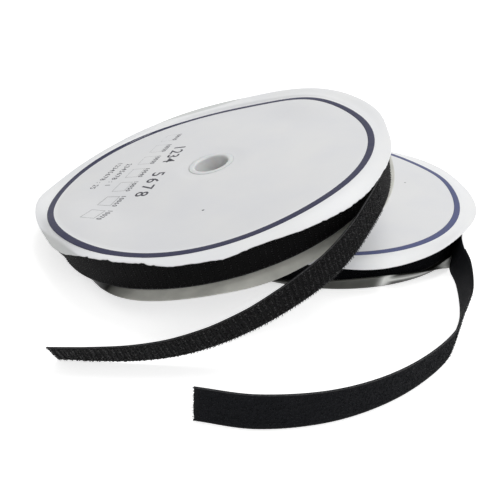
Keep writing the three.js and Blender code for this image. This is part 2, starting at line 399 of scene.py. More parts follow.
def loop_top_lift(reach, angle):
    """The upper card of the flat roll droops in front, and its tape pushes its rim up where it leaves."""
    face = smooth_share(reach, 60 * MM, 108 * MM)
    rim = smooth_share(reach, 115 * MM, DISC_RADIUS)
    edge = (
        0.6 * bump(angle, 22, 10) - 2.6 * bump(angle, 50, 12)
        - 3.0 * bump(angle, 284, 14) + 1.8 * bump(angle, 314, 10)
    )
    return (face * 1.7 * bump(angle, 10, 15) * (1 - rim) + rim * edge) * MM


def loop_top_loss(reach, angle):
    """The rim is short where the tape leaves."""
    return near_rim(reach) * 3.0 * bump(angle, 325, 13) * MM


def loop_bottom_lift(reach, angle):
    """The lower card of the flat roll curls up in front of its tape, with a fold along the curl."""
    curl = smooth_share(reach, TAPE_EDGE + 0.3 * MM, DISC_RADIUS - 1 * MM)
    pushed = 11 * bump(angle, 284, 32) - 3 * bump(angle, 318, 6)
    ridge = 6 * bump(angle, 318, 8) * math.exp(-((reach - 121.4 * MM) / (1.6 * MM)) ** 2)
    return -(curl * pushed + ridge) * MM


def loop_painted_highlight(reach, angle):
    """Painted highlight: a bright streak along the fold of the curl, with a bright patch at its left end and
    one by the tape.
    """
    along = smooth_share(angle, 287, 290) * (1 - smooth_share(angle, 304, 309))
    fold = along * math.exp(-((reach - 121.4 * MM) / (0.6 * MM)) ** 2)
    left = bump(angle, 288.5, 1.8) * smooth_share(reach, TAPE_EDGE, 120 * MM)
    right = 0.6 * bump(angle, 314, 3.5) * smooth_share(reach, TAPE_EDGE, 121 * MM)
    return min(fold + left + right, 1)


def loop_bottom_loss(reach, angle):
    """The curled rim reaches less far out, and to the right of the curl it is torn away."""
    torn = 6 * smooth_share(angle, 317, 327) * (1 - smooth_share(angle, 342, 358))
    return near_rim(reach) * (1.5 * bump(angle, 296, 20) + torn) * MM


def whole_rim(angle):
    """A rim that is hardly ragged."""
    return 0.05 * MM


def chewed_rim(angle):
    """How ragged the leaning roll's upper card is: most in front, and again where its tape leaves."""
    return (0.08 + 0.7 * bump(angle, 250, 24) + 0.45 * bump(angle, 312, 25)) * MM


# A card's steps round it, and the radii of its rings in millimetres, closest where it bends most
CARD_STEPS = 480
CARD_RINGS = [15, 16.2, 17.4, 18.6, 20, 21.5, 23, 24.5, 26, 27.5] + list(range(30, 106, 4)) + [
    108, 110, 111.5, 112.6, 113.4, 114.2, 115, 115.8, 116.6, 117.4, 118.2,
    119, 119.8, 120.6, 121.3, 122, 122.7, 123.4, 124, 124.6,
]


def card_height(reach):
    """Height of a card's inner face over the middle of the roll, before it is pulled out of flat."""
    return FACE_HEIGHT - DISH_DEPTH * (1 - smooth_share(reach, DISH_FLOOR_RADIUS, DISH_RADIUS))


def card_profile():
    """The section of a flat card from its hole to its rounded rim and back."""
    radii = [HOLE_RADIUS] + [ring * MM for ring in CARD_RINGS]
    outer = [(radius, card_height(radius) + CARD_THICKNESS) for radius in radii]
    edge = [
        (DISC_RADIUS - 0.1 * MM, FACE_HEIGHT + CARD_THICKNESS - 0.06 * MM),
        (DISC_RADIUS, FACE_HEIGHT + CARD_THICKNESS / 2),
        (DISC_RADIUS - 0.1 * MM, FACE_HEIGHT + 0.06 * MM),
    ]
    inner = [(radius, card_height(radius)) for radius in reversed(radii)]
    return outer + edge + inner


def make_card(name, node, roll, side, lift, loss, chew, card, film, film_from=DISC_RADIUS):
    """side is 1 above the tape and -1 below it. chew is how ragged the rim is. The inner face has the film,
    and past film_from the whole card has it."""
    bm = spun(card_profile(), CARD_STEPS)
    place = bm.loops.layers.uv.new("card_place")
    painted_shade = bm.verts.layers.float.new("painted_shade")
    painted_highlight = bm.verts.layers.float.new("painted_highlight")
    for face in bm.faces:
        for loop in face.loops:
            loop[place].uv = (loop.vert.co.x, side * loop.vert.co.y)
        inner = face.normal.z < -0.5
        face.material_index = 1 if inner or face.calc_center_median().xy.length > film_from else 0
    ragged = random.Random(name)
    notches = []
    while len(notches) < CARD_STEPS:
        notches += [ragged.gauss(0, 0.4) - (ragged.random() < 0.12)] * ragged.choice((1, 1, 2))
    for vert in bm.verts:
        reach, angle = reach_and_angle(vert.co, side)
        step = round(angle / 360 * CARD_STEPS) % CARD_STEPS
        outermost = smooth_share(reach, 122 * MM, DISC_RADIUS)
        # Painted shade on the upper card's bent lip in front and its bent facet at the back
        if node == "hook_top_disc":
            bent = past_crease(reach - loss(reach, angle), angle, LIP_CREASE)
            bent += 0.4 * past_crease(reach, angle, BACK_CREASE)
            vert[painted_shade] = min(bent / (0.8 * MM), 1)
        # Painted shade on the film where the leaning roll crushes its lower card
        if node == "hook_bottom_disc":
            vert[painted_shade] = min(2.2 * crushed(angle), 1)
        # Painted highlight along the curl's fold, and painted reflection of the black tape darkening the film
        # right of the fold's left end
        if node == "loop_bottom_disc":
            vert[painted_highlight] = loop_painted_highlight(reach, angle)
            vert[painted_shade] = 0.9 * smooth_share(angle, 289, 292)
        change = outermost * notches[step] * chew(angle) - loss(reach, angle)
        vert.co.xy *= 1 + change / reach
        vert.co.z += lift(reach, angle)
    turn_over(bm, side)
    body = node.rsplit("_", 2)[0] + "_roll"
    piece = piece_from(bm, name, body, [card, film], roll)
    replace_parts(piece, node)
    return piece


# The print

def settle_print(bm, lift, shift):
    """Print modelled flat on the XY plane is moved onto the card's upper face."""
    for vert in bm.verts:
        vert.co.x += shift[0]
        vert.co.y += shift[1]
        reach, angle = reach_and_angle(vert.co)
        vert.co.z += card_height(reach) + CARD_THICKNESS + INK_LIFT + lift(reach, angle)


def make_ring(name, roll, body, side, lift, shift, ink, spread=0.0):
    """The printed ring. spread is how much wider than usual it is, as the leaning roll's is."""
    radii = [RING_INNER + spread + share * (RING_OUTER - RING_INNER) for share in (0, 0.2, 0.4, 0.6, 0.8, 1)]
    profile = [(radius, INK_THICKNESS) for radius in radii] + [(radius, 0) for radius in reversed(radii)]
    bm = spun(profile, CARD_STEPS)
    settle_print(bm, lambda reach, angle: lift(reach, (side * angle) % 360), shift)
    turn_over(bm, side)
    return piece_from(bm, name, body, [ink], roll)


def add_text(bm, text, size, place, spacing=1.0, weight=0.0):
    """Plain digits as thin solid print, centred on their place. weight thickens their strokes."""
    curve = bpy.data.curves.new("digits", "FONT")
    curve.body = text
    curve.size = size
    curve.space_character = spacing
    curve.offset = weight
    curve.align_x = "CENTER"
    curve.align_y = "CENTER"
    curve.extrude = INK_THICKNESS / 2
    curve.resolution_u = 3
    writing = bpy.data.objects.new("digits", curve)
    bpy.context.scene.collection.objects.link(writing)
    bpy.context.view_layer.update()
    mesh = bpy.data.meshes.new_from_object(writing.evaluated_get(bpy.context.evaluated_depsgraph_get()))
    bpy.data.objects.remove(writing)
    bpy.data.curves.remove(curve)
    mesh.transform(place)
    bm.from_mesh(mesh)
    bpy.data.meshes.remove(mesh)


def add_box(bm, width, height, line, place):
    """An empty check box: four thin lines."""
    for x, y, wide, high in (
        (0, height / 2, width, line), (0, -height / 2, width, line),
        (width / 2, 0, line, height + line), (-width / 2, 0, line, height + line),
    ):
        scale = Matrix.Diagonal((wide, high, INK_THICKNESS, 1))
        bmesh.ops.create_cube(bm, size=1, matrix=place @ Matrix.Translation((x, y, 0)) @ scale)


PRINT_ANGLE = math.radians(-107.5)
BOX_ROW = -59.6 * MM
BOX_PITCH = 20.5 * MM
BOX_FIRST = -53 * MM
BOX_COUNT = 7
BOX_SIZE = (12.6 * MM, 10 * MM)
TITLE_SIZE = 13.8 * MM
TITLE_WEIGHT = 0.13 * MM
LABEL_SIZE = 5 * MM
LINE_SIZE = 6.4 * MM
LINE_WEIGHT = 0.04 * MM
TITLE_TILT = Matrix.Rotation(math.radians(3.5), 4, "Z")


def print_place(along, up):
    """A place on the print, read along its rows, which run below the hub."""
    return Matrix.Rotation(PRINT_ANGLE, 4, "Z") @ Matrix.Translation((along, up, 0))


def make_print(roll, lift, ink, title_ink):
    """Digits in the places of the words, and a row of check boxes that bends up and thickens."""
    title = bmesh.new()
    add_text(title, "1234", TITLE_SIZE, print_place(-20 * MM, -39.4 * MM) @ TITLE_TILT, 1.06, TITLE_WEIGHT)
    add_text(title, "5678", TITLE_SIZE, print_place(27 * MM, -36.4 * MM) @ TITLE_TILT, 1.38, TITLE_WEIGHT)
    for count in range(BOX_COUNT):
        along = BOX_FIRST + count * BOX_PITCH
        label = print_place(along, BOX_ROW + (7.2 + 0.16 * count ** 2) * MM)
        add_text(title, str(10010 + 10 * count), LABEL_SIZE, label, 1.08 + 0.03 * count, 0.1 * MM)
    add_text(title, "2345678 : 1", LINE_SIZE, print_place(9.5 * MM, -72.7 * MM), 1.15, LINE_WEIGHT)
    add_text(title, "12345678 : 25", LINE_SIZE, print_place(9.8 * MM, -83 * MM), 1.15, LINE_WEIGHT)
    bmesh.ops.triangulate(title, faces=title.faces)
    settle_print(title, lift, (0, 0))
    piece_from(title, "hook_card_digits", "hook_roll", [title_ink], roll, smooth=False)
    rows = bmesh.new()
    for count in range(BOX_COUNT):
        row = BOX_ROW + 0.12 * count ** 2 * MM
        add_box(rows, *BOX_SIZE, (0.12 + 0.04 * count) * MM, print_place(BOX_FIRST + count * BOX_PITCH, row))
    bmesh.ops.triangulate(rows, faces=rows.faces)
    settle_print(rows, lift, (0, 0))
    piece_from(rows, "hook_card_check_boxes", "hook_roll", [ink], roll, smooth=False)


def make_speck(name, roll, body, x, y, lift, ink):
    """A small oval fleck of print."""
    bm = bmesh.new()
    bmesh.ops.create_cone(
        bm, cap_ends=True, segments=10, radius1=SPECK_RADIUS, radius2=SPECK_RADIUS, depth=INK_THICKNESS,
        matrix=Matrix.Diagonal((1, 0.7, 1, 1)),
    )
    settle_print(bm, lift, (x, y))
    piece_from(bm, name, body, [ink], roll, smooth=False)


# The hub, and the inner turns

def make_hub(name, node, body, roll, plastic):
    """A tube whose ends are rolled out over the dished middles of the cards and thin out to nothing there."""
    seat = FACE_HEIGHT + CARD_THICKNESS - DISH_DEPTH + 0.04 * MM
    top = seat + LIP_THICKNESS
    lip = SLEEVE_RADIUS + LIP_REACH
    rolled = [
        (BORE_RADIUS, 0), (BORE_RADIUS, seat - 1.4 * MM), (BORE_RADIUS + 0.1 * MM, seat - 0.7 * MM),
        (BORE_RADIUS + 0.35 * MM, seat - 0.2 * MM), (BORE_RADIUS + 0.75 * MM, seat + 0.12 * MM),
        (BORE_RADIUS + 1.3 * MM, top - 0.08 * MM), (SLEEVE_RADIUS + 0.6 * MM, top - 0.04 * MM),
        (SLEEVE_RADIUS + 1.4 * MM, top - 0.16 * MM), (lip - 0.7 * MM, seat + 0.08 * MM),
        (lip, seat + 0.01 * MM), (lip - 0.6 * MM, seat), (SLEEVE_RADIUS, seat), (SLEEVE_RADIUS, 0),
    ]
    mirrored = [(radius, -height) for radius, height in reversed(rolled) if height]
    bm = spun(rolled + mirrored, 96)
    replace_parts(piece_from(bm, name, body, [plastic], roll), node)


def make_inner_turns(tape, roll, woven, lift):
    """The wound turns under the outer one, their edges just under the upper card."""
    thickness = BASE_THICKNESS + tape["pile"]
    pitch = thickness + TURN_GAP
    outer = TURN_RADIUS - pitch * (1 + tape["lap"] / (2 * math.pi)) - thickness / 2 - SEAT_GAP
    start = CORE_RADIUS + SEAT_GAP
    turns = int((outer - start) / pitch)
    step = (outer - start) / turns
    groove = 0.5 * MM
    edge = HALF_TAPE - 0.05 * MM
    card_room = 0.25 * MM
    upper = []
    for turn in range(turns):
        inner = start + turn * step
        upper += [(inner, HALF_TAPE - groove), (inner + step * 0.15, edge), (inner + step * 0.85, edge)]
    upper.append((outer, HALF_TAPE - groove))
    lower = [(radius, -height) for radius, height in reversed(upper)]
    bm = spun(upper + lower, 128)
    for vert in bm.verts:
        reach, angle = reach_and_angle(vert.co)
        roof = card_height(reach) + min(lift(reach, angle), 0) - card_room
        vert.co.z = max(min(vert.co.z, roof), -card_height(reach) + card_room)
    weave = bm.loops.layers.uv.new("weave")
    for face in bm.faces:
        for loop in face.loops:
            angle = math.atan2(loop.vert.co.y, loop.vert.co.x)
            loop[weave].uv = (angle * TURN_RADIUS, loop.vert.co.z)
    name = tape["name"]
    turns_piece = piece_from(bm, name + "_inner_turns", name + "_roll", [woven], roll)
    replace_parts(turns_piece, name + "_tape_pack")


# The tapes' routes

class SplineRoute:
    """A centripetal Catmull-Rom curve through points, the whole curve from 0 to 1."""

    def __init__(self, points):
        self.points = points

    def at(self, share):
        points = self.points
        last = len(points) - 1
        place = last * share
        index = min(int(place), last - 1)
        weight = place - index
        before = points[index - 1] if index > 0 else points[0] * 2 - points[1]
        start, end = points[index], points[index + 1]
        after = points[index + 2] if index + 2 <= last else points[last] * 2 - points[last - 1]
        gap = [math.sqrt((b - a).length) for a, b in ((before, start), (start, end), (end, after))]
        gap[1] = gap[1] if gap[1] > 1e-4 else 1.0
        gap[0] = gap[0] if gap[0] > 1e-4 else gap[1]
        gap[2] = gap[2] if gap[2] > 1e-4 else gap[1]
        leaving = (start - before) / gap[0] - (end - before) / (gap[0] + gap[1]) + (end - start) / gap[1]
        arriving = (end - start) / gap[1] - (after - start) / (gap[1] + gap[2]) + (after - end) / gap[2]
        leaving, arriving = leaving * gap[1], arriving * gap[1]
        square, cube = weight ** 2, weight ** 3
        return (
            start + leaving * weight
            + (-3 * start + 3 * end - 2 * leaving - arriving) * square
            + (2 * start - 2 * end + leaving + arriving) * cube
        )

    def heading(self, share):
        step = 0.0001
        ahead = self.at(min(share + step, 1)) - self.at(max(share - step, 0))
        return ahead.normalized()


UP = Vector((0, 0, 1))
TURN_STEPS = 384
DEPART_STEPS = 32
TAIL_STEPS = 144

# leave is where the tape leaves its turn and depart the angle over which it bends out past the rims. A free
# end's route is its lower edge: places from the roll's middle in disc radii, heights in heights of the edge
# at the rim, and leans in degrees.
HOOK_TAPE = {
    "name": "hook",
    "pile": 0.9 * MM,
    "leave": math.radians(21.5),
    "depart": math.radians(55.5),
    "depart_power": 2,
    "lap": math.radians(20),
    "rim_lean": 0.0,
    "route_shares": [
        (0.756, -0.727, 0.915, -10.5),
        (0.667, -0.862, 0.789, -6.5),
        (0.555, -0.973, 0.648, 0.5),
        (0.420, -1.055, 0.500, 9),
        (0.274, -1.112, 0.345, 17),
        (0.118, -1.149, 0.201, 22),
        (-0.044, -1.170, 0.089, 25),
        (-0.212, -1.181, 0.026, 27.5),
        (-0.384, -1.184, 0.002, 30),
        (-0.558, -1.185, 0, 33),
    ],
}

LOOP_TAPE = {
    "name": "loop",
    "pile": 1.1 * MM,
    "leave": math.radians(-28.5),
    "depart": math.radians(17),
    "depart_power": 3,
    "lap": math.radians(20),
    "rim_lean": math.radians(20),
    "route_shares": [
        (0.708, -0.852, 0.6, 13.5),
        (0.651, -1.117, 0, 8),
        (0.577, -1.280, 0, 3.5),
        (0.502, -1.438, 0, 0.5),
        (0.332, -1.617, 0, 1),
        (0.137, -1.756, 0, 0.5),
        (-0.086, -1.856, 0.1, -2),
        (-0.346, -1.902, 0.1, -5),
        (-0.579, -1.877, 0.1, -4),
    ],
}


def turn_stations(tape, roll):
    """Middle, direction across and outward direction along the outer turn and out past the rims."""
    pitch = BASE_THICKNESS + tape["pile"] + TURN_GAP
    rim_radius = DISC_RADIUS + RIM_CLEARANCE
    stations = []

    def station(angle, radius, lean):
        radial = Vector((math.cos(angle), math.sin(angle), 0))
        across = UP * math.cos(lean) + radial * math.sin(lean)
        outward = radial * math.cos(lean) - UP * math.sin(lean)
        foot = radial * radius - UP * HALF_TAPE
        turn = roll.to_3x3()
        stations.append((roll @ (foot + across * HALF_TAPE), turn @ across, turn @ outward))

    for step in range(TURN_STEPS + 1):
        angle = tape["leave"] + (2 * math.pi + tape["lap"]) * (1 - step / TURN_STEPS)
        station(angle, TURN_RADIUS - pitch * (angle - tape["leave"]) / (2 * math.pi), 0)
    for step in range(1, DEPART_STEPS + 1):
        share = step / DEPART_STEPS
        radius = TURN_RADIUS + (rim_radius - TURN_RADIUS) * share ** tape["depart_power"]
        station(tape["leave"] - share * tape["depart"], radius, share * tape["rim_lean"])
    return stations


def tail_stations(tape, roll, before, rim):
    """The free end: its lower edge follows the route's points down to the table."""
    def foot_of(station):
        return station[0] - station[1] * HALF_TAPE

    rim_foot = foot_of(rim)
    heading = (rim_foot - foot_of(before)).normalized()
    outward_at_rim = UP.cross(heading).normalized()
    up_at_rim = heading.cross(outward_at_rim)
    feet = [foot_of(before), rim_foot]
    leans = [math.atan2(rim[1].dot(outward_at_rim), rim[1].dot(up_at_rim))]
    middle = roll.translation
    for x_share, y_share, height_share, lean in tape["route_shares"]:
        feet.append(Vector((
            middle.x + x_share * DISC_RADIUS, middle.y + y_share * DISC_RADIUS, height_share * rim_foot.z,
        )))
        leans.append(math.radians(lean))
    route = SplineRoute(feet)
    lean_route = SplineRoute([Vector((lean, 0, 0)) for lean in leans])
    spans = len(feet) - 1
    stations = []
    for step in range(1, TAIL_STEPS + 1):
        share = step / TAIL_STEPS
        along = (1 + share * (spans - 1)) / spans
        foot = route.at(along)
        foot.z = max(foot.z, 0)
        heading = route.heading(along)
        level = UP.cross(heading).normalized()
        upright = heading.cross(level)
        lean = lean_route.at(share).x
        across = upright * math.cos(lean) + level * math.sin(lean)
        outward = level * math.cos(lean) - upright * math.sin(lean)
        stations.append((foot + across * HALF_TAPE, across, outward))
    return stations


class TapeRoute:
    """Lays flat tape along its route: x along it, y across it, z outward from its middle."""

    def __init__(self, tape, roll):
        turn = turn_stations(tape, roll)
        before = turn[-1 - DEPART_STEPS // 8]
        stations = turn + tail_stations(tape, roll, before, turn[-1])
        self.middles, self.across, self.outward = (
            np.array([station[part] for station in stations]) for part in range(3)
        )
        steps = np.linalg.norm(np.diff(self.middles, axis=0), axis=1)
        self.lengths = np.concatenate([[0], np.cumsum(steps)])
        self.length = float(self.lengths[-1])
        self.turn_length = float(self.lengths[len(turn) - 1])

    def lay(self, mesh):
        points = np.empty(len(mesh.vertices) * 3)
        mesh.vertices.foreach_get("co", points)
        points = points.reshape(-1, 3)
        x = points[:, 0]
        index = np.clip(np.searchsorted(self.lengths, x) - 1, 0, len(self.lengths) - 2)
        share = ((x - self.lengths[index]) / (self.lengths[index + 1] - self.lengths[index]))[:, None]

        def between(values):
            return values[index] * (1 - share) + values[index + 1] * share

        sideways = between(self.across) * points[:, 1:2]
        laid = between(self.middles) + sideways + between(self.outward) * points[:, 2:3]
        mesh.vertices.foreach_set("co", laid.ravel())
        mesh.update()


# Tape, modelled flat

TURN_START = 0.5 * MM
SELVAGE_CORD = 0.32 * MM
FRAY_THREADS = 34
FRAY_ROOT = 0.6 * MM


def ground_back(tape):
    """Height of the ground's back: a route runs through the middle of the ground and its pile together."""
    return -(BASE_THICKNESS + tape["pile"]) / 2


def flat_piece(bm, name, route, material):
    """Stores the flat places as the weave map, lays the tape along its route, rides on the tapes' body."""
    mesh = mesh_from(bm, name)
    corners = np.empty(len(mesh.loops), dtype=np.int32)
    mesh.loops.foreach_get("vertex_index", corners)
    points = np.empty(len(mesh.vertices) * 3)
    mesh.vertices.foreach_get("co", points)
    weave = mesh.uv_layers.new(name="weave")
    weave.data.foreach_set("uv", points.reshape(-1, 3)[corners, :2].ravel().astype(np.float32))
    route.lay(mesh)
    return piece_of(mesh, name, "tapes", [material])


def make_ground(tape, route, woven):
    """The woven ground of the tape, thinner along each edge, where the corded selvages lie."""
    back = ground_back(tape)
    middle = back + BASE_THICKNESS / 2
    columns = int(route.length / (1.5 * MM))
    bm = bmesh.new()
    bmesh.ops.create_grid(bm, x_segments=columns, y_segments=14, size=0.5)
    bmesh.ops.scale(bm, vec=(route.length, TAPE_WIDTH, 1), verts=bm.verts)
    bmesh.ops.translate(bm, vec=(route.length / 2, 0, 0), verts=bm.verts)
    bmesh.ops.solidify(bm, geom=bm.faces[:], thickness=BASE_THICKNESS)
    bmesh.ops.recalc_face_normals(bm, faces=bm.faces)
    lowest = min(vert.co.z for vert in bm.verts)
    wander = random.Random(tape["name"])
    for vert in bm.verts:
        vert.co.z += back - lowest
        edge = smooth_share(abs(vert.co.y), HALF_TAPE - 1.2 * MM, HALF_TAPE)
        vert.co.z = middle + (vert.co.z - middle) * (1 - 0.35 * edge)
        if vert.co.x > route.length - 0.1 * MM:
            vert.co.x += wander.uniform(-0.5, 0) * MM
    ground = flat_piece(bm, tape["name"] + "_ground", route, woven)
    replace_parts(ground, tape["name"] + "_tape_strip")
    return ground


def make_selvage(tape, route, filament):
    """Two round cords at the edges of the ground, slightly wavy as a woven edge is."""
    front = ground_back(tape) + BASE_THICKNESS
    bm = bmesh.new()
    columns = int(route.length / (1.2 * MM))
    for side in (-1, 1):
        cord = bmesh.new()
        bmesh.ops.create_cone(
            cord, cap_ends=True, segments=6, radius1=SELVAGE_CORD, radius2=SELVAGE_CORD, depth=1,
            matrix=Matrix.Rotation(math.pi / 2, 4, "Y"),
        )
        long_edges = [edge for edge in cord.edges if abs(edge.verts[0].co.x - edge.verts[1].co.x) > 0.5]
        bmesh.ops.subdivide_edges(cord, edges=long_edges, cuts=columns)
        for vert in cord.verts:
            vert.co.x = (vert.co.x + 0.5) * route.length
            wave = math.sin(vert.co.x / (2.4 * MM) * 2 * math.pi)
            vert.co.y += side * (HALF_TAPE - 0.34 * MM + 0.05 * MM * wave)
            vert.co.z += front - 0.12 * MM
        mesh = mesh_from(cord, "cord")
        bm.from_mesh(mesh)
        bpy.data.meshes.remove(mesh)
    return flat_piece(bm, tape["name"] + "_selvage", route, filament)


def scatter(template, places):
    """Copies of a small mesh, one at each place."""
    bm = bmesh.new()
    for place in places:
        copy = template.copy()
        copy.transform(place)
        bm.from_mesh(copy)
        bpy.data.meshes.remove(copy)
    return bm


def hook_template():
    """One filament: a stem that bends over into a hook."""
    bm = bmesh.new()
    bmesh.ops.create_circle(bm, cap_ends=True, segments=3, radius=0.15 * MM)
    bend = 0.26 * MM
    stem = 0.42 * MM
    grown = bmesh.ops.extrude_face_region(bm, geom=bm.faces[:])["geom"]
    top = [item for item in grown if isinstance(item, bmesh.types.BMVert)]
    bmesh.ops.translate(bm, vec=(0, 0, stem), verts=top)
    tip = [item for item in grown if isinstance(item, bmesh.types.BMFace)]
    bmesh.ops.spin(
        bm, geom=tip, cent=(bend, 0, stem), axis=(0, 1, 0), angle=math.radians(165),
        steps=4, use_duplicate=False,
    )
    bmesh.ops.recalc_face_normals(bm, faces=bm.faces)
    return mesh_from(bm, "hook_shape")


def loop_template():
    """One loop of yarn, standing on its two feet."""
    bm = bmesh.new()
    bmesh.ops.create_circle(bm, cap_ends=True, segments=3, radius=0.1 * MM)
    bend = 0.42 * MM
    bmesh.ops.spin(
        bm, geom=bm.faces[:], cent=(bend, 0, 0), axis=(0, 1, 0), angle=math.radians(185),
        steps=5, use_duplicate=False,
    )
    bmesh.ops.translate(bm, vec=(-bend, 0, 0), verts=bm.verts)
    bmesh.ops.recalc_face_normals(bm, faces=bm.faces)
    return mesh_from(bm, "loop_shape")


# Past the free stretch of a piece, its hooks keep off the tape's lower edge, which comes down to the floor
ROW_PITCH = 1.7 * MM
HOOKS_ACROSS = 14
FREE_STRETCH = 150 * MM
FLOOR_MARGIN = 0.9 * MM
LOW_MARGIN = 0.3 * MM
HIGH_MARGIN = 1.2 * MM


def hook_places(start, end, base, seed):
    """Rows of hooks across the tape, every other row turned back. On the free end they are closer and
    coarser, and the ones along its lower edge lean out over it by the roll."""
    chance = random.Random(seed)
    free_end = start > TURN_START
    pitch = ROW_PITCH * (1 if free_end else 2)
    coarse = 1.5 if free_end else 0.9
    low, high = -HALF_TAPE + LOW_MARGIN, HALF_TAPE - HIGH_MARGIN
    rows = int((end - start) / pitch)
    for row in range(rows):
        slant = chance.gauss(0, 0.2) * MM
        for column in range(HOOKS_ACROSS):
            across = column / (HOOKS_ACROSS - 1)
            x = start + (row + 0.5) * pitch + slant * across + chance.gauss(0, 0.2) * MM
            y = low + (high - low) * across + chance.gauss(0, 0.14) * MM
            turn = (math.pi if row % 2 else 0) + chance.gauss(0, 0.6)
            lean = Matrix.Rotation(chance.gauss(0, 0.22), 4, "X")
            if x > start + FREE_STRETCH:
                y = max(y, low + FLOOR_MARGIN)
            elif column == 0 and free_end:
                turn, lean = 0, Matrix.Rotation(chance.gauss(0.95, 0.15), 4, "X")
            height = chance.uniform(1.0, 1.3) * coarse ** 0.5 * 0.82
            size = Matrix.Diagonal((coarse, coarse, height, 1))
            yield Matrix.Translation((x, y, base)) @ Matrix.Rotation(turn, 4, "Z") @ lean @ size


def loop_places(start, end, base, seed):
    """Loops brushed every way, close together, and closest on the free end."""
    chance = random.Random(seed)
    spacing = (1.2 if start > TURN_START else 1.55) * MM
    width = TAPE_WIDTH - 2 * SELVAGE_WIDTH
    rows = int((end - start) / spacing)
    columns = int(width / spacing)
    for row in range(rows):
        for column in range(columns):
            x = start + (row + chance.random()) * spacing
            y = width * ((column + chance.random()) / columns - 0.5)
            lean = Matrix.Rotation(chance.gauss(0, 0.45), 4, "X")
            size = Matrix.Diagonal((chance.uniform(0.7, 1.5), 1, chance.uniform(0.9, 1.9), 1))
            turn = Matrix.Rotation(chance.uniform(0, math.pi), 4, "Z")
            yield Matrix.Translation((x, y, base)) @ turn @ lean @ size


def make_piles(tape, route, template, places, filament, names):
    """The pile in two pieces, round the turn and on the free end, from copies of one small mesh."""
    base = ground_back(tape) + BASE_THICKNESS - 0.05 * MM
    pieces = []
    ends = [(TURN_START, route.turn_length), (route.turn_length, route.length - 0.8 * MM)]
    for name, (start, end) in zip(names, ends):
        bm = scatter(template, places(start, end, base, name))
        pieces.append(flat_piece(bm, name, route, filament))
    bpy.data.meshes.remove(template)
    return pieces


def make_fray(tape, route, filament):
    """Cut threads that stand out of the free end."""
    chance = random.Random(tape["name"] + " fray")
    bm = bmesh.new()
    middle = ground_back(tape) + BASE_THICKNESS / 2
    for count in range(FRAY_THREADS):
        reach = chance.uniform(0.4, 1.5) * MM
        y = (count / (FRAY_THREADS - 1) - 0.5) * (TAPE_WIDTH - 0.8 * MM) + chance.gauss(0, 0.15) * MM
        aside = Matrix.Rotation(chance.gauss(0, 0.3), 4, "Z")
        aim = aside @ Matrix.Rotation(math.pi / 2 + chance.gauss(0, 0.2), 4, "Y")
        height = middle + chance.gauss(0, 0.12) * MM
        place = Matrix.Translation((route.length - FRAY_ROOT + reach / 2, y, height))
        bmesh.ops.create_cone(
            bm, cap_ends=True, segments=4, radius1=0.12 * MM, radius2=0.07 * MM, depth=reach + FRAY_ROOT,
            matrix=place @ aim,
        )
    return flat_piece(bm, tape["name"] + "_cut_end", route, filament)


def make_strip(tape, route, woven, template, places, filament, names, yarn):
    """One tape's outer turn and free end, as a laid sheet with its pile, selvages and cut end."""
    ground = make_ground(tape, route, woven)
    pieces = make_piles(tape, route, template(), places, filament, names)
    pieces.append(make_selvage(tape, route, yarn))
    pieces.append(make_fray(tape, route, yarn))


# Stage. The floor glows, so that its open part shows white, but not so much that the shadow goes.

FLOOR_GLOW = 0.62
FLOOR_GAP = 0.4 * MM


def seen_share(tree):
    """1 for what the camera sees straight, in a gloss or through glass, and 0 for what lights a piece."""
    rays = add(tree, "ShaderNodeLightPath")
    plain = calc(tree, "MAXIMUM", rays.outputs["Is Camera Ray"], rays.outputs["Is Glossy Ray"])
    return calc(tree, "MAXIMUM", plain, rays.outputs["Is Transmission Ray"])


def make_floor():
    bm = bmesh.new()
    bmesh.ops.create_grid(bm, x_segments=1, y_segments=1, size=4)
    mesh = mesh_from(bm, "floor")
    mesh.transform(Matrix.Translation((0, 0, -FLOOR_GAP)))
    material, tree, shader = new_material("pale_floor")
    shader.inputs["Base Color"].default_value = (0.86, 0.86, 0.86, 1)
    shader.inputs["Roughness"].default_value = 0.9
    shader.inputs["Specular IOR Level"].default_value = 0.1
    shader.inputs["Emission Color"].default_value = (1, 1, 1, 1)
    glow = calc(tree, "MULTIPLY", seen_share(tree), FLOOR_GLOW)
    tree.links.new(glow, shader.inputs["Emission Strength"])
    mesh.materials.append(material)
    floor = bpy.data.objects.new("floor", mesh)
    bpy.context.scene.collection.objects.link(floor)


def make_world():
    world = bpy.data.worlds.new("studio")
    world.use_nodes = True
    bpy.context.scene.world = world
    tree = world.node_tree
    tree.nodes.clear()
    light = add(tree, "ShaderNodeBackground", {"Color": (1, 1, 1, 1), "Strength": 0.45})
    white = add(tree, "ShaderNodeBackground", {"Color": (1, 1, 1, 1), "Strength": 1.0})
    mixed = add(tree, "ShaderNodeMixShader", {0: seen_share(tree), 1: light.outputs[0], 2: white.outputs[0]})
    add(tree, "ShaderNodeOutputWorld", {0: mixed.outputs[0]})


def make_lamp(name, place, size, power):
    """A round softbox that points at the middle of the object's place on the floor."""
    lamp = bpy.data.lights.new(name, "AREA")
    lamp.shape = "DISK"
    lamp.size = size
    lamp.energy = power
    lamp_object = bpy.data.objects.new(name, lamp)
    bpy.context.scene.collection.objects.link(lamp_object)
    turn = (-Vector(place)).to_track_quat("-Z", "Y").to_matrix().to_4x4()
    lamp_object.matrix_world = Matrix.Translation(place) @ turn


